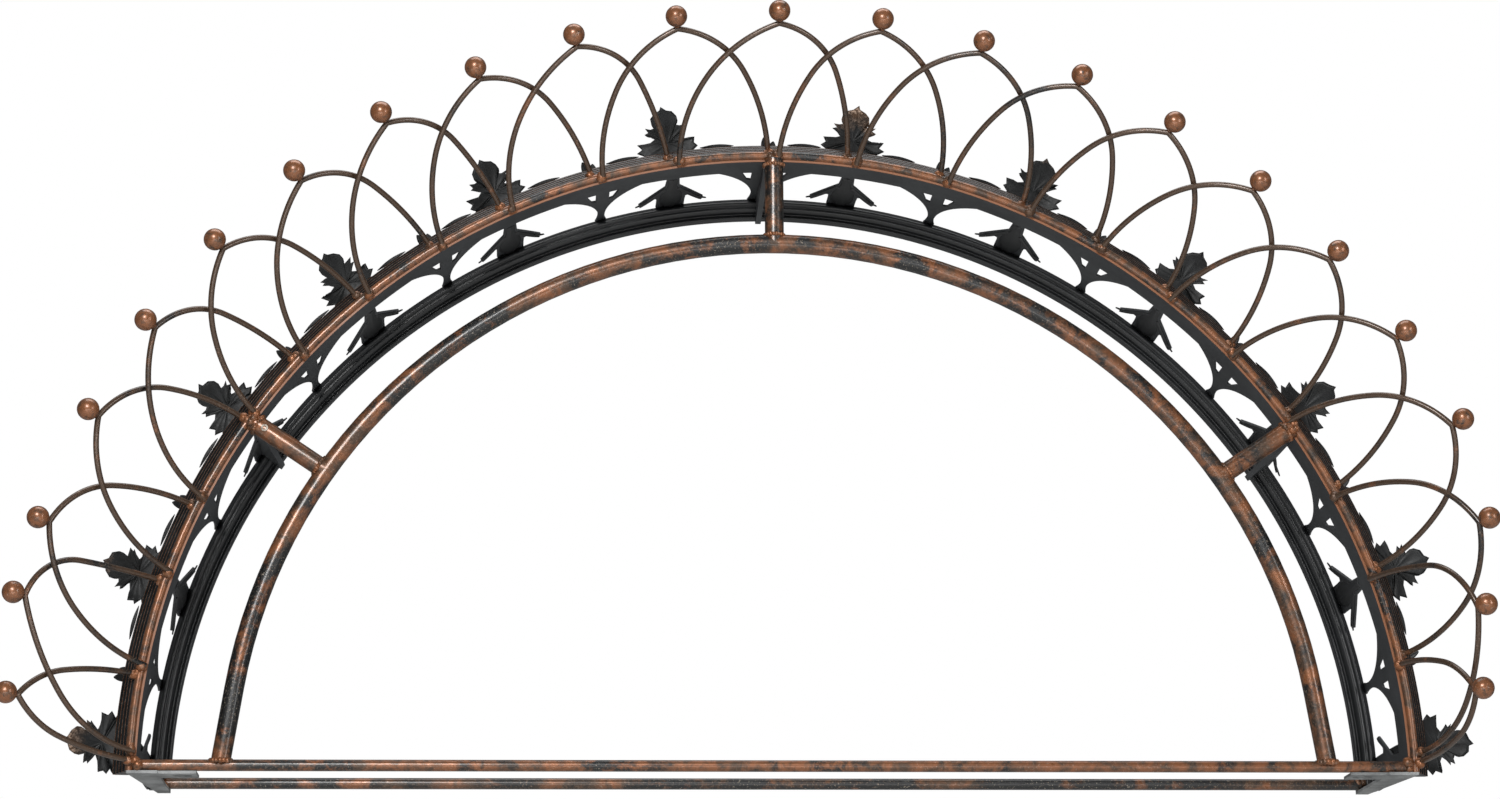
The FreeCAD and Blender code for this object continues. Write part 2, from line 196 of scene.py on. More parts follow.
LOOPS = [loop_ends(name) for name in sorted(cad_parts) if name.startswith("loop_")]
PAIRS = [(angle_of(before[1]) + angle_of(after[0])) / 2 for before, after in zip(LOOPS[:-2], LOOPS[2:])]
LEAF_PAIRS, BUD_PAIRS = PAIRS[1::2], PAIRS[0::2]


# ---- node helpers ----
class Tree:
    """Adds nodes and links to one node tree."""

    def __init__(self, tree):
        self.tree = tree

    def add(self, kind, inputs=None, **settings):
        node = self.tree.nodes.new(kind)
        for key, value in settings.items():
            setattr(node, key, value)
        for key, value in (inputs or {}).items():
            if isinstance(value, bpy.types.NodeSocket):
                self.tree.links.new(value, node.inputs[key])
            else:
                node.inputs[key].default_value = value
        return node

    def math(self, operation, a, b=0.0, clamp=False):
        node = self.add("ShaderNodeMath", {0: a, 1: b}, operation=operation, use_clamp=clamp)
        return node.outputs[0]


def new_material(name):
    material = bpy.data.materials.new(name)
    material.use_nodes = True
    material.node_tree.nodes.clear()
    tree = Tree(material.node_tree)
    shader = tree.add("ShaderNodeBsdfPrincipled")
    tree.add("ShaderNodeOutputMaterial", {"Surface": shader.outputs["BSDF"]})
    coords = tree.add("ShaderNodeTexCoord").outputs["Object"]
    return material, tree, shader, coords


def noise(tree, coords, scale, detail=4.0, roughness=0.55, distortion=0.0):
    inputs = {"Vector": coords, "Scale": scale, "Detail": detail, "Roughness": roughness,
              "Distortion": distortion}
    return tree.add("ShaderNodeTexNoise", inputs).outputs["Fac"]


def ramp(tree, value, low, high, start=0.0, end=1.0):
    """Maps low..high to start..end, clamped."""
    inputs = {"Value": value, "From Min": low, "From Max": high, "To Min": start, "To Max": end}
    return tree.add("ShaderNodeMapRange", inputs).outputs["Result"]


def mix(tree, factor, a, b):
    node = tree.add("ShaderNodeMix", data_type="RGBA")
    for socket, value in ((node.inputs[0], factor), (node.inputs[6], a), (node.inputs[7], b)):
        if isinstance(value, bpy.types.NodeSocket):
            tree.tree.links.new(value, socket)
        else:
            socket.default_value = value
    return node.outputs[2]


def bump(tree, shader, height, distance, strength=1.0):
    node = tree.add("ShaderNodeBump", {"Height": height, "Distance": distance, "Strength": strength})
    tree.tree.links.new(node.outputs["Normal"], shader.inputs["Normal"])


def feed(tree, shader, **sockets):
    names = {"colour": "Base Color", "metallic": "Metallic", "roughness": "Roughness"}
    for key, socket in sockets.items():
        tree.tree.links.new(socket, shader.inputs[names[key]])


def antique_copper(name, patch, black_share, brown_share, grain=700.0, dents=0.35):
    """Copper paint brushed over black, with pale flecks that are partly rubbed copper and partly painted
    highlight, and black patches with painted glints.
    """
    material, tree, shader, coords = new_material(name)
    tone = colours()
    patches = noise(tree, coords, patch, 5.0, 0.6, 0.8)
    streaks = noise(tree, coords, patch * 6.0, 5.0, 0.62, 0.4)
    flecks = noise(tree, coords, grain, 3.0, 0.75)
    worn = tree.math("ADD", tree.math("MULTIPLY", patches, 0.68), tree.math("MULTIPLY", streaks, 0.32))
    speckled = tree.math("ADD", worn, tree.math("MULTIPLY", tree.math("SUBTRACT", flecks, 0.5), 0.16))
    black = ramp(tree, speckled, black_share + 0.035, black_share - 0.035)
    brown = ramp(tree, streaks, brown_share + 0.09, brown_share - 0.10)
    colour = mix(tree, brown, tone.copper, tone.brown)
    # pale flecks in the worn copper: partly rubbed copper, partly painted highlight specks
    pale = tree.math("MULTIPLY", ramp(tree, flecks, 0.58, 0.72), ramp(tree, worn, 0.45, 0.60, 0.1, 0.75))
    colour = mix(tree, pale, colour, tone.pale_copper_and_highlight)
    rust = tree.math("MULTIPLY", ramp(tree, streaks, 0.56, 0.66), 0.45)
    dark = mix(tree, rust, tone.black, tone.copper)
    # painted glints: pale flecks in the black patches stand in for specular sparkle on the glossy paint
    painted_glints = ramp(tree, flecks, 0.60, 0.70, 0.0, 0.85)
    dark = mix(tree, painted_glints, dark, (0.50, 0.42, 0.33, 1))
    feed(tree, shader,
         colour=mix(tree, black, colour, dark),
         metallic=ramp(tree, black, 0.0, 1.0, 0.38, 0.10),
         roughness=ramp(tree, streaks, 0.35, 0.68, 0.42, 0.27))
    rough = tree.math("MULTIPLY", flecks, ramp(tree, black, 0.0, 1.0, 0.35, 1.0))
    bump(tree, shader, tree.math("ADD", rough, tree.math("MULTIPLY", streaks, 0.5)), dents * MM, 0.9)
    shader.inputs["Coat Weight"].default_value = 0.45
    shader.inputs["Coat Roughness"].default_value = 0.16
    return material


def weld_copper(name):
    """Thick glossy copper paint on weld metal."""
    material, tree, shader, coords = new_material(name)
    tone = colours()
    lumps = noise(tree, coords, 320.0, 4.0, 0.6)
    soot = noise(tree, coords, 90.0, 4.0, 0.6)
    colour = mix(tree, ramp(tree, lumps, 0.52, 0.75, 0.0, 0.6), tone.copper, tone.pale_copper_and_highlight)
    feed(tree, shader,
         colour=mix(tree, ramp(tree, soot, 0.53, 0.43, 0.0, 0.9), colour, tone.brown),
         metallic=ramp(tree, soot, 0.35, 0.5, 0.25, 0.45),
         roughness=ramp(tree, lumps, 0.35, 0.65, 0.22, 0.40))
    bump(tree, shader, lumps, 0.6 * MM, 0.8)
    return material


def bright_rim(name):
    """Bare pale metal, a little tarnished."""
    material, tree, shader, coords = new_material(name)
    tarnish = noise(tree, coords, 600.0, 3.0, 0.6)
    feed(tree, shader,
         colour=mix(tree, ramp(tree, tarnish, 0.4, 0.65), (0.30, 0.27, 0.23, 1), tuple(colours().brown)),
         roughness=ramp(tree, tarnish, 0.3, 0.7, 0.45, 0.6))
    shader.inputs["Metallic"].default_value = 0.5
    return material


def satin_black(name, base, roughness=(0.34, 0.52), grain=0.10, dusty=0.35, copper_edge=False):
    """Black or grey paint with faint clouding and a fine orange-peel."""
    material, tree, shader, coords = new_material(name)
    clouds = noise(tree, coords, 14.0, 5.0, 0.6)
    fine = noise(tree, coords, 420.0, 3.0, 0.6)
    lighter = tuple(c * 1.3 + 0.002 for c in base[:3]) + (1,)
    darker = tuple(c * 0.75 for c in base[:3]) + (1,)
    colour = mix(tree, ramp(tree, clouds, 0.35, 0.65), darker, lighter)
    dust = ramp(tree, fine, 0.62, 0.80, 0.0, dusty)
    dust_tone = tuple(min(1.0, c * 3.0 + 0.02) for c in base[:3]) + (1,)
    colour = mix(tree, dust, colour, dust_tone)
    if copper_edge:
        depth = tree.add("ShaderNodeSeparateXYZ", {"Vector": coords}).outputs["Y"]
        brushed = tree.math("ADD", depth, tree.math("MULTIPLY", clouds, 1.5 * MM))
        edge = ramp(tree, brushed, FRONT_Y + 1.6 * MM, FRONT_Y + 1.1 * MM)
        colour = mix(tree, edge, colour, mix(tree, dust, colours().copper, colours().brown))
    feed(tree, shader, colour=colour, roughness=ramp(tree, clouds, 0.3, 0.7, roughness[1], roughness[0]))
    bump(tree, shader, fine, grain * MM, 0.5)
    return material


def rubbed_black(name, mask_name, brown_tone, mask_low, mask_high, edge_share, shine, gloss=(0.36, 0.50)):
    """Black paint with copper where a stored mask is high: ridge crests or leaf tips. On the ridge crests the
    pale lines are partly painted highlight.
    """
    material, tree, shader, coords = new_material(name)
    tone = colours()
    mask = tree.add("ShaderNodeAttribute", attribute_name=mask_name).outputs["Fac"]
    broken = noise(tree, coords, 60.0, 5.0, 0.65, 0.4)
    fine = noise(tree, coords, 500.0, 3.0, 0.6)
    worn = tree.math("ADD", mask, tree.math("MULTIPLY", tree.math("SUBTRACT", broken, 0.5), edge_share * 4))
    # where the mask is high: copper, which on the cornice's crests is partly a painted highlight line
    rubbed = ramp(tree, worn, mask_low, mask_high)
    clouds = mix(tree, ramp(tree, broken, 0.40, 0.75, 0.0, 0.45), tone.black, tone.band_grey)
    copper = mix(tree, ramp(tree, fine, 0.45, 0.7), brown_tone, tone.pale_copper_and_highlight)
    feed(tree, shader,
         colour=mix(tree, rubbed, clouds, copper),
         metallic=ramp(tree, rubbed, 0.0, 1.0, 0.05, 0.55),
         roughness=ramp(tree, fine, 0.3, 0.7, *gloss))
    bump(tree, shader, fine, 0.02 * MM, 0.4)
    shader.inputs["Specular IOR Level"].default_value = shine
    return material


def grey_primer(name):
    material, tree, shader, coords = new_material(name)
    tone = colours()
    clouds = noise(tree, coords, 38.0, 5.0, 0.65)
    fine = noise(tree, coords, 700.0, 3.0, 0.6)
    feed(tree, shader,
         colour=mix(tree, ramp(tree, clouds, 0.38, 0.62), tone.primer, (0.13, 0.135, 0.135, 1)),
         roughness=ramp(tree, fine, 0.3, 0.7, 0.45, 0.6))
    bump(tree, shader, fine, 0.15 * MM, 0.5)
    return material


# ---- geometry node groups ----
def new_group(name, sockets):
    """A geometry node group with named inputs. Returns its tree and its group input's outputs."""
    group = bpy.data.node_groups.new(name, "GeometryNodeTree")
    group.interface.new_socket("Geometry", in_out="OUTPUT", socket_type="NodeSocketGeometry")
    group.interface.new_socket("Geometry", in_out="INPUT", socket_type="NodeSocketGeometry")
    for label, kind in sockets:
        group.interface.new_socket(label, in_out="INPUT", socket_type="NodeSocket" + kind)
    tree = Tree(group)
    return tree, tree.add("NodeGroupInput").outputs


def end_group(tree, geometry, material):
    """Every group ends in Realize Instances and Set Material."""
    real = tree.add("GeometryNodeRealizeInstances", {"Geometry": geometry}).outputs["Geometry"]
    smooth = tree.add("GeometryNodeSetShadeSmooth", {"Geometry": real}).outputs["Geometry"]
    dressed = tree.add("GeometryNodeSetMaterial", {"Geometry": smooth, "Material": material})
    tree.add("NodeGroupOutput", {"Geometry": dressed.outputs["Geometry"]})
    return tree.tree


def scatter_group():
    """Puts a copy of a blade at each point, turned round the arch by the attribute turn."""
    tree, given = new_group("arch_scatter", [("Blade", "Object"), ("Material", "Material")])
    blade = tree.add("GeometryNodeObjectInfo", {"Object": given["Blade"]}).outputs["Geometry"]
    turn = tree.add("GeometryNodeInputNamedAttribute", {"Name": "turn"}, data_type="FLOAT")
    rotation = tree.add("ShaderNodeCombineXYZ", {"Y": turn.outputs[0]}).outputs["Vector"]
    copies = tree.add("GeometryNodeInstanceOnPoints", {
        "Points": given["Geometry"], "Instance": blade, "Rotation": rotation})
    return end_group(tree, copies.outputs["Instances"], given["Material"])


def arch_sweep_group():
    """Sweeps the object's closed outline (x outwards, y back) round a half circle."""
    tree, given = new_group("arch_sweep", [
        ("Radius", "Float"), ("Lift", "Float"), ("Steps", "Int"), ("Material", "Material")])
    profile = tree.add("GeometryNodeMeshToCurve", {"Mesh": given["Geometry"]}).outputs["Curve"]
    sweep = tree.math("SUBTRACT", math.pi, tree.math("MULTIPLY", given["Lift"], 2.0))
    arc = tree.add("GeometryNodeCurveArc", {
        "Resolution": given["Steps"], "Radius": given["Radius"], "Start Angle": given["Lift"],
        "Sweep Angle": sweep}, mode="RADIUS").outputs["Curve"]
    upright = tree.add("GeometryNodeSetCurveNormal", {"Curve": arc}, mode="Z_UP")
    solid = tree.add("GeometryNodeCurveToMesh", {
        "Curve": upright.outputs["Curve"], "Profile Curve": profile, "Fill Caps": True}).outputs["Mesh"]
    stood = tree.add("GeometryNodeTransform", {"Geometry": solid, "Rotation": Euler((math.pi / 2, 0, 0))})
    return end_group(tree, stood.outputs["Geometry"], given["Material"])


def weld_group():
    """Puts a lumpy bead on every point, sized by the attribute bead."""
    tree, given = new_group("arch_welds", [
        ("Lumpiness", "Float"), ("Lump scale", "Float"), ("Seed", "Int"), ("Material", "Material")])
    ball = tree.add("GeometryNodeMeshIcoSphere", {"Radius": 1.0, "Subdivisions": 3}).outputs["Mesh"]
    size = tree.add("GeometryNodeInputNamedAttribute", {"Name": "bead"}, data_type="FLOAT_VECTOR")
    turn = tree.add("FunctionNodeRandomValue", {"Max": (6.28, 6.28, 6.28), "Seed": given["Seed"]},
                    data_type="FLOAT_VECTOR").outputs[0]
    beads = tree.add("GeometryNodeInstanceOnPoints", {
        "Points": given["Geometry"], "Instance": ball, "Rotation": turn, "Scale": size.outputs[0]})
    real = tree.add("GeometryNodeRealizeInstances", {"Geometry": beads.outputs["Instances"]})
    place = tree.add("GeometryNodeInputPosition").outputs["Position"]
    lumps = noise(tree, place, given["Lump scale"], 2.0, 0.5)
    push = tree.math("MULTIPLY", tree.math("SUBTRACT", lumps, 0.5), given["Lumpiness"])
    normal = tree.add("GeometryNodeInputNormal").outputs["Normal"]
    offset = tree.add("ShaderNodeVectorMath", {0: normal, "Scale": push}, operation="SCALE")
    moved = tree.add("GeometryNodeSetPosition", {
        "Geometry": real.outputs["Geometry"], "Offset": offset.outputs["Vector"]})
    return end_group(tree, moved.outputs["Geometry"], given["Material"])


def hammer_group():
    """Gives a pressed sheet slightly uneven faces."""
    tree, given = new_group("arch_hammer", [
        ("Depth", "Float"), ("Scale", "Float"), ("Material", "Material")])
    place = tree.add("GeometryNodeInputPosition").outputs["Position"]
    dents = tree.add("ShaderNodeTexNoise", {"Vector": place, "Scale": given["Scale"], "Detail": 2.0})
    centred = tree.add("ShaderNodeVectorMath", {0: dents.outputs["Color"], 1: (0.5, 0.5, 0.5)},
                       operation="SUBTRACT")
    offset = tree.add("ShaderNodeVectorMath", {0: centred.outputs["Vector"], "Scale": given["Depth"]},
                      operation="SCALE")
    moved = tree.add("GeometryNodeSetPosition", {
        "Geometry": given["Geometry"], "Offset": offset.outputs["Vector"]})
    return end_group(tree, moved.outputs["Geometry"], given["Material"])


def node_group(build, name):
    return bpy.data.node_groups.get(name) or build()


def add_nodes(piece, group, **inputs):
    """Adds a geometry node group and sets its named inputs by identifier."""
    modifier = piece.modifiers.new(group.name, "NODES")
    modifier.node_group = group
    wanted = {key.replace("_", " ").capitalize(): value for key, value in inputs.items()}
    for item in group.interface.items_tree:
        if item.in_out == "INPUT" and item.name in wanted:
            modifier[item.identifier] = wanted[item.name]
    return modifier


# ---- mesh helpers ----
def new_piece(name, mesh_maker):
    """Makes an object whose mesh is built by mesh_maker(bm)."""
    bm = bmesh.new()
    mesh_maker(bm)
    mesh = bpy.data.meshes.new(name)
    bm.to_mesh(mesh)
    bm.free()
    piece = bpy.data.objects.new(name, mesh)
    bpy.context.scene.collection.objects.link(piece)
    return piece


def plain_mesh(piece, material):
    """Turns the modifiers' result into the piece's own mesh, with one material and faces outwards."""
    bpy.context.view_layer.update()
    shown = piece.evaluated_get(bpy.context.evaluated_depsgraph_get())
    mesh = bpy.data.meshes.new_from_object(shown)
    piece.modifiers.clear()
    piece.data = mesh
    bm = bmesh.new()
    bm.from_mesh(mesh)
    bmesh.ops.remove_doubles(bm, verts=bm.verts, dist=0.002 * MM)
    bmesh.ops.recalc_face_normals(bm, faces=bm.faces)
    bm.to_mesh(mesh)
    bm.free()
    mesh.materials.clear()
    mesh.materials.append(material)
    for face in mesh.polygons:
        face.material_index = 0
    return piece


def thicken(piece, thickness):
    """Gives an open sheet its thickness and rounds it once."""
    sheet = piece.modifiers.new("sheet", "SOLIDIFY")
    sheet.thickness = thickness
    sheet.offset = 0.0
    rounding = piece.modifiers.new("round", "SUBSURF")
    rounding.levels = 1
    rounding.render_levels = 1


def scatter(name, pattern, turns, material):
    """One piece made of copies of a pattern turned round the arch. The pattern is used up."""
    def make(bm):
        layer = bm.verts.layers.float.new("turn")
        for turn in turns:
            bm.verts.new((0, 0, 0))[layer] = turn

    piece = new_piece(name, make)
    add_nodes(piece, node_group(scatter_group, "arch_scatter"), blade=pattern, material=material)
    plain_mesh(piece, material)
    bpy.data.objects.remove(pattern)
    return piece


def settle(piece, slot, *nodes):
    """Ties a finished piece to the frame."""
    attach(piece, BODY)
    if nodes:
        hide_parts(*nodes)
    return piece


def dress(names, material):
    """Gives CAD nodes that stay a better material."""
    for name in names:
        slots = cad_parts[name].data.materials
        slots.clear()
        slots.append(material)


# ---- operators ----
class ARCH_OT_tubes(bpy.types.Operator):
    """Finishes the ring, spokes, base rods and front ring in mottled antique copper, and the eyelet"""
    bl_idname = "arch.tubes"
    bl_label = "Tubes and rods"

    def execute(self, context):
        tube = antique_copper("copper_over_black_tube", 11.0, 0.485, 0.53)
        rod = antique_copper("copper_over_black_rod", 15.0, 0.45, 0.50)
        rear = antique_copper("copper_over_black_rear_rod", 9.0, 0.52, 0.60)
        dark = antique_copper("copper_over_black_spoke", 16.0, 0.51, 0.62)
        dress(["inner_ring", "spoke_left", "spoke_right"], tube)
        dress(["spoke_top"], dark)
        dress(["front_ring", "front_base_rod"], rod)
        dress(["back_base_rod"], rear)
        dress(["vent_eyelet"], bright_rim("bright_eyelet"))
        return {"FINISHED"}


class ARCH_OT_loops(bpy.types.Operator):
    """Finishes the wire loops and their balls in browner copper"""
    bl_idname = "arch.loops"
    bl_label = "Loops and balls"

    def execute(self, context):
        wire = antique_copper("copper_over_black_wire", 9.0, 0.41, 0.68, dents=0.12)
        ball = antique_copper("copper_ball", 40.0, 0.33, 0.42, grain=450.0, dents=0.22)
        dress([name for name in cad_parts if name.startswith("loop_")], wire)
        dress(["ball_tips"], ball)
        return {"FINISHED"}


class ARCH_OT_band(bpy.types.Operator):
    """Finishes the pierced band, gussets and end plates"""
    bl_idname = "arch.band"
    bl_label = "Band and plates"

    def execute(self, context):
        grey = satin_black("matt_band_grey", colours().band_grey, (0.42, 0.58), copper_edge=True)
        dress([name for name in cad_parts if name.startswith("band_panel_")], grey)
        plain = satin_black("matt_gusset_grey", colours().band_grey, (0.36, 0.50))
        dress([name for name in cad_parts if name.startswith("gusset_")], plain)
        dress(["end_plate_left", "end_plate_right"], grey_primer("grey_primer"))
        return {"FINISHED"}


class ARCH_OT_mouldings(bpy.types.Operator):
    """Sweeps the cornice's rounded ridges and the back rail's moulding round the arch"""
    bl_idname = "arch.mouldings"
    bl_label = "Cornice and back rail"

    def outline(self, points):
        def make(bm):
            corners = [bm.verts.new((radius, y, 0)) for radius, y in points]
            for a, b in zip(corners, corners[1:] + corners[:1]):
                bm.edges.new((a, b))
        return make

    def cornice_points(self):
        """Rounded ridges, each a little further out than the one in front of it."""
        given = sizes()
        count = given.ridge_count
        width = CORNICE_BACK - CORNICE_FRONT
        first = CORNICE_TOP - count * given.ridge_rise
        steps = RIDGE_STEPS * count
        points = [(BAND_OUTER, CORNICE_FRONT)]
        for i in range(steps + 1):
            share = i / steps
            wave = abs(math.sin(math.pi * share * count))
            stair = min(count, math.floor(share * count) + 1) * given.ridge_rise
            depth = (1 - wave ** RIDGE_ROUNDNESS) * RIDGE_GROOVE
            points.append((first + stair - depth, CORNICE_FRONT + share * (width - RIDGE_BACK)))
        points.append((BAND_OUTER, CORNICE_BACK))
        return points

    def rail_points(self):
        """A bead, a broad rounded face, a cove and a narrow inner lip."""
        given = sizes()
        inner = RAIL_OUTER - given.rail_width
        low = RAIL_FRONT
        bead = RAIL_BEAD
        bead_edge = RAIL_OUTER - given.rail_step
        points = [(RAIL_OUTER, RAIL_BACK), (RAIL_OUTER, low + RAIL_SEAT)]
        for i in range(7):
            turn = math.pi * i / 6
            points.append((bead_edge - bead + bead * math.cos(turn), low + bead - bead * math.sin(turn)))
        face_start = bead_edge - 2 * bead - 0.3 * MM
        face_end = inner + 4.6 * MM
        for i in range(9):
            share = i / 8
            radius = face_start + (face_end - face_start) * share
            swell = 0.9 * MM * math.sin(math.pi * share)
            points.append((radius, low + 2.1 * MM - swell + 1.6 * MM * share))
        cove = RAIL_COVE
        for i in range(1, 6):
            turn = math.pi * i / 6
            y = low + 4.2 * MM + 2.0 * MM * math.sin(turn)
            points.append((face_end - cove + cove * math.cos(turn), y))
        lip = RAIL_LIP
        for i in range(6):
            turn = math.pi * i / 5
            points.append((inner + lip + lip * math.cos(turn), low + 5.2 * MM - lip * math.sin(turn)))
        points.append((inner, RAIL_BACK))
        return points

    def sweep(self, name, points, radius, material):
        shifted = [(r - radius, y) for r, y in points]
        piece = new_piece(name, self.outline(shifted))
        group = node_group(arch_sweep_group, "arch_sweep")
        lift = math.asin(PLATE_TOP / radius)
        add_nodes(piece, group, radius=radius, lift=lift, steps=SWEEP_STEPS, material=material)
        return plain_mesh(piece, material)

    def store_crest_rub_and_highlight(self, piece):
        """Marks how near each point is to a ridge's crest, for the rubbed copper and the painted crest
        highlight.
        """
        given = sizes()
        mask = piece.data.attributes.new("crest", "FLOAT", "POINT")
        width = CORNICE_BACK - CORNICE_FRONT
        for vertex in piece.data.vertices:
            radius = math.hypot(vertex.co.x, vertex.co.z)
            share = (vertex.co.y - CORNICE_FRONT) / (width - RIDGE_BACK) * given.ridge_count
            stair = min(given.ridge_count, math.floor(share + 0.01) + 1) * given.ridge_rise
            crest = CORNICE_TOP - given.ridge_count * given.ridge_rise + stair
            mask.data[vertex.index].value = max(0.0, 1 - (crest - radius) / CREST_RUB_AND_HIGHLIGHT_DEPTH)

    def execute(self, context):
        # the pale crest lines are partly rubbed copper and partly painted highlight
        rubbed = rubbed_black("ridges_rubbed_and_highlit", "crest", tuple(colours().copper), 0.30, 0.60, 0.10, 0.4,
                              gloss=(0.20, 0.30))
        cornice = self.sweep("cornice_moulding", self.cornice_points(), CORNICE_TOP, rubbed)
        self.store_crest_rub_and_highlight(cornice)
        settle(cornice, "cornice_black", "cornice")
        black = satin_black("satin_rail_black", (0.011, 0.012, 0.013, 1), (0.27, 0.33), 0.0, 0.0)
        rail = self.sweep("back_rail_moulding", self.rail_points(), RAIL_OUTER, black)
        settle(rail, "band_black", "back_rail")
        return {"FINISHED"}


class Lobe:
    """One pressed lobe: a pointed patch with a raised vein, in a leaf's own (across, up, forward) frame."""

    def __init__(self, root, tip, width, bend=0.0, belly=1.0, curl=0.0, root_width=0.35, cup=0.25):
        self.root, self.tip = Vector(root), Vector(tip)
        self.width, self.bend, self.belly = width, bend, belly
        self.curl, self.root_width, self.cup = curl, root_width, cup

    def half_width(self, t):
        swell = math.sin(math.pi * t ** self.belly) ** 0.75 if 0 < t < 1 else 0.0
        return self.width * max(swell, self.root_width * (1 - t) ** 0.5, 0.02)

    def add(self, bm, place, layer, long_steps=14, cross_steps=8):
        run = self.tip - self.root
        side = Vector((-run.y, run.x, 0)).normalized()
        rows = []
        for i in range(long_steps + 1):
            t = i / long_steps
            centre = self.root + run * t + side * self.bend * math.sin(math.pi * t)
            half = self.half_width(t)
            row = []
            for j in range(cross_steps + 1):
                v = 2 * j / cross_steps - 1
                point = centre + side * half * v
                vein = 0.55 * max(0.0, 1 - abs(v) * 3.0) * (1 - t)
                point.z += self.curl * t * t + self.cup * half * v * v + vein
                vert = bm.verts.new(place(point))
                vert[layer] = t
                row.append(vert)
            rows.append(row)
        for low, high in zip(rows[:-1], rows[1:]):
            for a, b, c, d in zip(low[:-1], low[1:], high[1:], high[:-1]):
                bm.faces.new((a, b, c, d))


# The right half of a leaf's head, from its foot to its tip: across and up, in millimetres.
LEAF_EDGE = (
    (0, -10), (3.6, -9), (9, -5.5), (15.5, -3), (20.5, -0.5), (17.2, 1.3), (21.8, 4.4), (19.2, 6.4),
    (21.2, 10.6), (16.5, 10.7), (12.5, 10.8), (9, 12.6), (11.5, 15), (15.2, 17.2), (12.8, 18.2),
    (14.6, 20.8), (10.6, 20.1), (8.2, 20.7), (9.8, 23.5), (9.5, 27), (6.8, 30.3), (2.4, 31.8), (0, 34.5),
)
LEAF_HEART = (0, 9)
LEAF_VEINS = (-24, -11, 4, 28, 38, 62, 90)
# Leaves that took copper spray: number and how much.
BROWN_LEAVES = {0: 1.1, 1: 0.8, 6: 1.15, 7: 0.7, 11: 0.6}


def leaf_head(bm, place, layer, dice, height, brown):
    """A leaf's head: rings of points from its heart to its notched edge, pressed into veins and cups."""
    stretch = height / LEAF_EDGE[-1][1]
    halves = []
    for side in (1, -1):
        spread = dice.uniform(0.93, 1.07)
        edge = [(side * x * spread * dice.uniform(0.96, 1.04), y * stretch + dice.uniform(-0.5, 0.5))
                for x, y in LEAF_EDGE[1:-1]]
        halves.append(edge)
    foot, tip = LEAF_EDGE[0], (dice.uniform(-1.5, 1.5), LEAF_EDGE[-1][1] * stretch)
    corners = [foot] + halves[0] + [tip] + halves[1][::-1]
    edge = []
    for (x0, y0), (x1, y1) in zip(corners, corners[1:] + corners[:1]):
        edge += [(x0, y0), ((x0 + x1) / 2, (y0 + y1) / 2)]
    lift = {side: dice.uniform(-1.0, 3.5) for side in (-1, 1)}
    nod = dice.uniform(7.0, 12.0)
    rings = (0.14, 0.32, 0.50, 0.66, 0.80, 0.91, 1.0)

    def spot(x, y, share):
        bearing = math.degrees(math.atan2(y - LEAF_HEART[1], abs(x)))
        vein = max(math.exp(-((bearing - line) / 4.5) ** 2) for line in LEAF_VEINS)
        forward = nod * max(0.0, (y - 4) / height) ** 1.7 - 1.5
        side = 1 if x > 0 else -1
        forward += lift[side] * (abs(x) / 20) ** 2 + 0.15 * vein * (1 - share * 0.8)
        forward -= 0.25 * math.sin(math.pi * share) * (1 - vein)
        vert = bm.verts.new(place(Vector((x, y, forward))))
        vert[layer] = brown * (0.25 + 0.75 * max(0.0, y / height)) + 0.25 * share
        return vert

    heart = spot(LEAF_HEART[0], LEAF_HEART[1], 0.0)
    rows = []
    for share in rings:
        rows.append([spot(LEAF_HEART[0] + (x - LEAF_HEART[0]) * share,
                          LEAF_HEART[1] + (y - LEAF_HEART[1]) * share, share) for x, y in edge])
    count = len(edge)
    for i in range(count):
        j = (i + 1) % count
        bm.faces.new((heart, rows[0][i], rows[0][j]))
        for low, high in zip(rows[:-1], rows[1:]):
            bm.faces.new((low[i], high[i], high[j], low[j]))


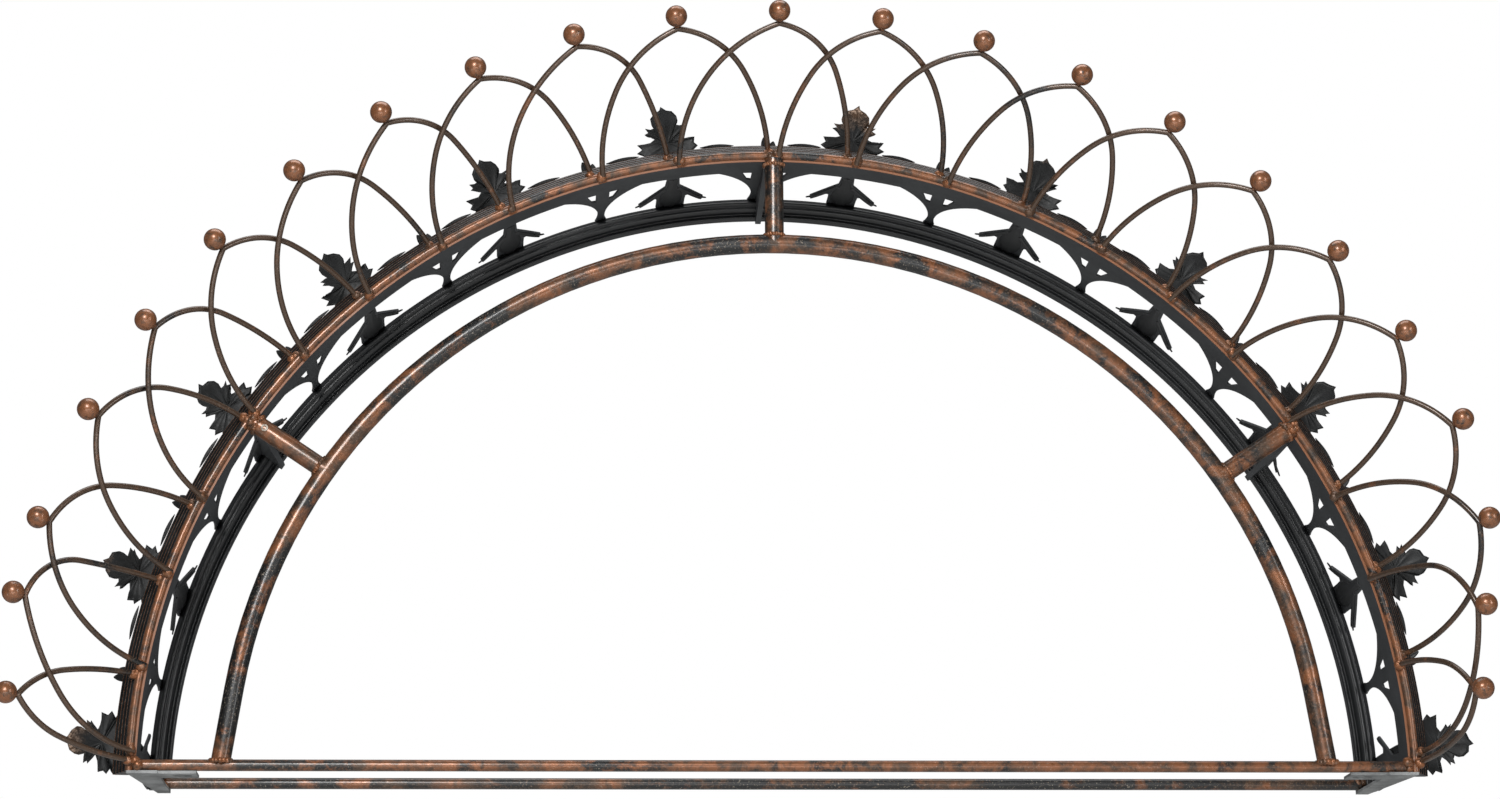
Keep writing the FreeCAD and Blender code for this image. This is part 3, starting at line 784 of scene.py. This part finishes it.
class ARCH_OT_leaves(bpy.types.Operator):
    """Presses the twelve lobed leaves, with stems that run down the outside of the band"""
    bl_idname = "arch.leaves"
    bl_label = "Leaves"

    def stem(self, bm, angle, layer):
        """A ribbed strap from the back rail along the band, then up behind the cornice."""
        skin = BAND_OUTER + STEM_GAP
        line = [
            (skin, RAIL_BACK - 3 * MM, 3.4),
            (skin, RAIL_BACK - 40 * MM, 3.4),
            (skin, CORNICE_BACK + 18 * MM, 3.2),
            (skin + 2.0 * MM, CORNICE_BACK + 8 * MM, 3.2),
            (skin + 8 * MM, CORNICE_BACK + 3.0 * MM, 4.0),
            (CORNICE_TOP - 2 * MM, CORNICE_BACK + LEAF_GAP, 5.0),
        ]
        rows = []
        for radius, y, half in line:
            row = []
            for j in range(7):
                v = j / 3 - 1
                rib = 0.9 * MM * (1 - abs(v)) ** 2
                vert = bm.verts.new(on_arch(angle, radius + rib, y, v * half * MM))
                vert[layer] = 0.0
                row.append(vert)
            rows.append(row)
        for low, high in zip(rows[:-1], rows[1:]):
            for a, b, c, d in zip(low[:-1], low[1:], high[1:], high[:-1]):
                bm.faces.new((a, b, c, d))

    def execute(self, context):
        given = sizes()
        tone = colours()
        brown = rubbed_black("leaf_black_and_brown", "tip", tuple(tone.brown), 0.9, 1.3, 0.3, 0.22)
        hammer = node_group(hammer_group, "arch_hammer")
        names = sorted(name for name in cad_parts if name.startswith("leaf_"))
        ends = len(names) - 1
        for number, name in enumerate(names):
            low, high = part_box(name)
            angle = LEAF_PAIRS[number - 1] if 0 < number < ends else angle_of((low + high) / 2)
            dice = random.Random(40 + number)

            def place(point):
                radius = CORNICE_TOP + point.y * MM
                y = CORNICE_BACK + LEAF_GAP - point.z * MM
                spot = on_arch(angle, radius, y, point.x * MM)
                spot.z = max(spot.z, PLATE_TOP)
                return spot

            def make(bm):
                layer = bm.verts.layers.float.new("tip")
                leaf_head(bm, place, layer, dice, given.leaf_height / MM, BROWN_LEAVES.get(number, 0.45))
                self.stem(bm, angle, layer)

            leaf = new_piece(name.replace("leaf", "pressed_leaf"), make)
            add_nodes(leaf, hammer, depth=HAMMER_DEPTH, scale=HAMMER_SCALE, material=brown)
            sheet = leaf.modifiers.new("sheet", "SOLIDIFY")
            sheet.thickness = given.sheet
            sheet.offset = 0.0
            settle(plain_mesh(leaf, brown), "leaf_black", name)
        return {"FINISHED"}


class ARCH_OT_small_leaves(bpy.types.Operator):
    """Repeats the buds and the leaflets round the cornice"""
    bl_idname = "arch.small_leaves"
    bl_label = "Buds and leaflets"

    def blades(self, name, lobes, material, turns, node, lift):
        """Presses one blade and puts a copy at each turn round the arch."""
        def place(point):
            return on_arch(0, CORNICE_TOP + point.y * MM, CORNICE_BACK + lift - point.z * MM, point.x * MM)

        def make(bm):
            layer = bm.verts.layers.float.new("tip")
            for lobe in lobes:
                lobe.add(bm, place, layer, 10, 6)

        blade = new_piece(name + "_pattern", make)
        thicken(blade, sizes().sheet)
        rows = scatter(name, blade, turns, material)
        settle(rows, "leaf_black", node)

    def execute(self, context):
        offset = sizes().leaflet_offset
        black = rubbed_black("small_leaf_black", "tip", tuple(colours().brown), 1.2, 1.6, 0.3, 0.25)
        buds = [Lobe((-3, -7, 0), (-5.5, 6.5, 3), 3.2, root_width=0.8, curl=1.0),
                Lobe((-1, -7, 0), (1.5, 4.0, 2), 3.0, root_width=0.8)]
        self.blades("bud_blades", buds, black, BUD_PAIRS, "buds", SMALL_LEAF_LIFT)
        lens = [Lobe((-12.5, 1.6, 0), (12.5, 1.6, 0), 1.3, bend=0.5, root_width=0.0, cup=0.2)]
        turns = [angle + side * offset for angle in LEAF_PAIRS for side in (-1, 1)]
        self.blades("leaflet_blades", lens, black, turns, "leaflets", SMALL_LEAF_LIFT)
        return {"FINISHED"}


class ARCH_OT_struts(bpy.types.Operator):
    """Adds the raised leaf relief to the struts inside the band"""
    bl_idname = "arch.struts"
    bl_label = "Strut relief"

    def execute(self, context):
        skin = BAND_OUTER - BAND_SHEET
        strip = FRONT_Y + BAND_STRIP
        depth = (RAIL_FRONT - strip) / MM
        dark = satin_black("strut_black", (0.012, 0.013, 0.014, 1), (0.34, 0.46), 0.06, 0.1)

        def place(point):
            return on_arch(0, skin - point.z * MM, strip + point.y * MM, point.x * MM)

        body = Lobe((0, 0.03 * depth, 0.2), (0, 1.12 * depth, 1.0), 9.2,
                    belly=1.7, root_width=0.42, cup=-0.10)
        lobes = [body]
        for side in (-1, 1):
            lobes += [
                Lobe((side * 4.0, 0.36 * depth, 0.2), (side * 23.0, 0.90 * depth, 1.4), 2.2,
                     root_width=1.0, cup=-0.15),
                Lobe((side * 19.0, 0.76 * depth, 1.0), (side * 26.5, 0.84 * depth, 2.0), 1.0, root_width=1.0),
            ]

        def make(bm):
            layer = bm.verts.layers.float.new("tip")
            for lobe in lobes:
                lobe.add(bm, place, layer, 12, 6)

        pattern = new_piece("strut_relief_pattern", make)
        thicken(pattern, RELIEF_SHEET)
        settle(scatter("strut_relief", pattern, LEAF_PAIRS, dark), "band_black")
        return {"FINISHED"}


class ARCH_OT_welds(bpy.types.Operator):
    """Runs lumpy weld beads at every foot, tip, spoke end and corner"""
    bl_idname = "arch.welds"
    bl_label = "Welds"

    def execute(self, context):
        given = sizes()
        dice = random.Random(7)
        spots = []

        def bead(point, size, stretch=(1.0, 1.0, 1.0)):
            spots.append((point, Vector(stretch) * size))

        def cluster(point, size, count, spread):
            for _ in range(count):
                drift = Vector([dice.uniform(-1, 1) for _ in range(3)]) * spread
                bead(point + drift, size * dice.uniform(0.7, 1.1))

        for left, right, tip in LOOPS:
            for foot in (left, right):
                cluster(foot, given.bead_size, 4, 1.5 * MM)
            cluster(tip, 1.7 * MM, 2, 0.6 * MM)
        tube_r = RING_TUBE / 2
        for angle in (-given.spoke_angle, 0.0, given.spoke_angle):
            for step in range(SPOKE_BEADS):
                turn = FULL_TURN * step / SPOKE_BEADS
                across, y = tube_r * math.cos(turn), FRONT_Y + tube_r * math.sin(turn)
                for radius in (RING_OUTER - 0.8 * MM, BAND_OUTER - 4.5 * MM):
                    bead(on_arch(angle, radius, y, across), dice.uniform(1.25, 1.75) * MM)
            cluster(on_arch(angle, BAND_OUTER + 1 * MM, FRONT_Y - 3.0 * MM), 3.4 * MM, 6, 2.8 * MM)
        for side in (-1, 1):
            ring_x = side * (RING_FOOT - tube_r)
            for step in range(RING_BEADS):
                turn = FULL_TURN * step / RING_BEADS
                foot = Vector((ring_x + tube_r * math.cos(turn), FRONT_Y + tube_r * math.sin(turn),
                               BASE_ROD_Z + 0.7 * BASE_ROD / 2))
                bead(foot, dice.uniform(1.8, 2.4) * MM)
            cluster(Vector((side * (BAND_OUTER - 1 * MM), FRONT_Y - 2 * MM, BASE_ROD_Z + 1 * MM)),
                    3.8 * MM, 6, 2.6 * MM)
            back_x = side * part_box("back_base_rod")[1].x
            cluster(Vector((back_x, BACK_ROD_Y, BASE_ROD_Z)), 3.0 * MM, 5, 2.0 * MM)

        def make(bm):
            layer = bm.verts.layers.float_vector.new("bead")
            for point, size in spots:
                point.z = max(point.z, max(size) * 1.15)
                vert = bm.verts.new(point)
                vert[layer] = size

        glossy = weld_copper("glossy_weld_copper")
        welds = new_piece("weld_beads", make)
        group = node_group(weld_group, "arch_welds")
        add_nodes(welds, group, lumpiness=WELD_LUMPINESS, lump_scale=WELD_LUMP_SCALE, seed=3,
                  material=glossy)
        settle(plain_mesh(welds, glossy), "copper_tube")
        return {"FINISHED"}


class ARCH_OT_stage(bpy.types.Operator):
    """Sets out the pale floor, the soft lights, the plain world and the camera"""
    bl_idname = "arch.stage"
    bl_label = "Stage"

    def soft_light(self, name, place, target, size, power):
        lamp = bpy.data.lights.new(name, "AREA")
        lamp.shape = "RECTANGLE"
        lamp.size, lamp.size_y = size
        lamp.energy = power
        holder = bpy.data.objects.new(name, lamp)
        holder.location = place
        holder.rotation_euler = (Vector(target) - Vector(place)).to_track_quat("-Z", "Y").to_euler()
        bpy.context.scene.collection.objects.link(holder)

    def floor(self):
        def make(bm):
            bmesh.ops.create_grid(bm, x_segments=1, y_segments=1, size=FLOOR_HALF)
            for vert in bm.verts:
                vert.co.z = FLOOR_Z
        floor = new_piece("pale_floor", make)
        material, _, shader, _ = new_material("pale_floor_finish")
        shader.inputs["Base Color"].default_value = (0.86, 0.86, 0.85, 1)
        shader.inputs["Roughness"].default_value = 0.7
        floor.data.materials.append(material)

    def world(self):
        """White behind the object, and a softer grey for what lights it."""
        world = bpy.data.worlds.new("pale_world")
        world.use_nodes = True
        world.node_tree.nodes.clear()
        tree = Tree(world.node_tree)
        seen = tree.add("ShaderNodeBackground", {"Color": (1, 1, 1, 1), "Strength": 1.0})
        light = tree.add("ShaderNodeBackground", {"Color": (0.95, 0.97, 1, 1), "Strength": 0.13})
        ray = tree.add("ShaderNodeLightPath").outputs["Is Camera Ray"]
        blend = tree.add("ShaderNodeMixShader", {
            0: ray, 1: light.outputs["Background"], 2: seen.outputs["Background"]})
        tree.add("ShaderNodeOutputWorld", {"Surface": blend.outputs["Shader"]})
        bpy.context.scene.world = world

    def camera(self):
        """Low in front of the arch, looking up at it through a long lens."""
        pan, tilt, roll = (math.radians(degrees) for degrees in (3.63, 13.05, -0.395))
        forward = Vector((math.sin(pan) * math.cos(tilt), math.cos(pan) * math.cos(tilt), math.sin(tilt)))
        level = Vector((math.cos(pan), -math.sin(pan), 0))
        upright = level.cross(forward)
        right = level * math.cos(roll) + upright * math.sin(roll)
        up = upright * math.cos(roll) - level * math.sin(roll)
        data = bpy.data.cameras.new("camera")
        data.sensor_width = 36.0
        data.lens = 91.95
        camera = bpy.data.objects.new("camera", data)
        turn = Matrix((right, up, -forward)).transposed().to_4x4()
        camera.matrix_world = Matrix.Translation((-0.1851, FRONT_Y - 2.6301, -0.3449)) @ turn
        bpy.context.scene.collection.objects.link(camera)
        bpy.context.scene.camera = camera

    def execute(self, context):
        context.scene.view_settings.view_transform = "Standard"
        self.floor()
        self.world()
        self.soft_light("key_softbox", (-0.7, -2.7, 1.1), (0, 0, 0.25), (0.9, 0.8), 56)
        self.soft_light("fill_softbox", (1.9, -2.0, 0.5), (0, 0, 0.2), (0.5, 1.2), 15)
        self.soft_light("top_softbox", (0.0, 0.2, 2.3), (0, 0, 0.3), (2.0, 0.9), 22)
        self.soft_light("low_softbox", (-0.2, -2.2, -0.5), (0, 0, 0.2), (2.0, 0.4), 9)
        self.camera()
        return {"FINISHED"}


class ARCH_PT_panel(bpy.types.Panel):
    """Lists the arch's steps, sizes and colours"""
    bl_idname = "ARCH_PT_panel"
    bl_label = "Arch frame"
    bl_space_type = "VIEW_3D"
    bl_region_type = "UI"
    bl_category = "Arch frame"

    def draw(self, context):
        for group in (context.scene.arch_sizes, context.scene.arch_colours):
            for name in group.bl_rna.properties.keys():
                if name not in ("rna_type", "name"):
                    self.layout.prop(group, name)
        for step in STEPS:
            self.layout.operator(step.bl_idname)


STEPS = (
    ARCH_OT_stage,
    ARCH_OT_tubes,
    ARCH_OT_loops,
    ARCH_OT_band,
    ARCH_OT_mouldings,
    ARCH_OT_leaves,
    ARCH_OT_small_leaves,
    ARCH_OT_struts,
    ARCH_OT_welds,
)
CLASSES = (ArchSizes, ArchColours) + STEPS + (ARCH_PT_panel,)


def register():
    for item in CLASSES:
        bpy.utils.register_class(item)
    bpy.types.Scene.arch_sizes = bpy.props.PointerProperty(type=ArchSizes)
    bpy.types.Scene.arch_colours = bpy.props.PointerProperty(type=ArchColours)


def unregister():
    del bpy.types.Scene.arch_colours
    del bpy.types.Scene.arch_sizes
    for item in reversed(CLASSES):
        bpy.utils.unregister_class(item)


def main():
    register()
    for step in STEPS:
        space, name = step.bl_idname.split(".")
        getattr(getattr(bpy.ops, space), name)()


if __name__ == "__main__":
    main()
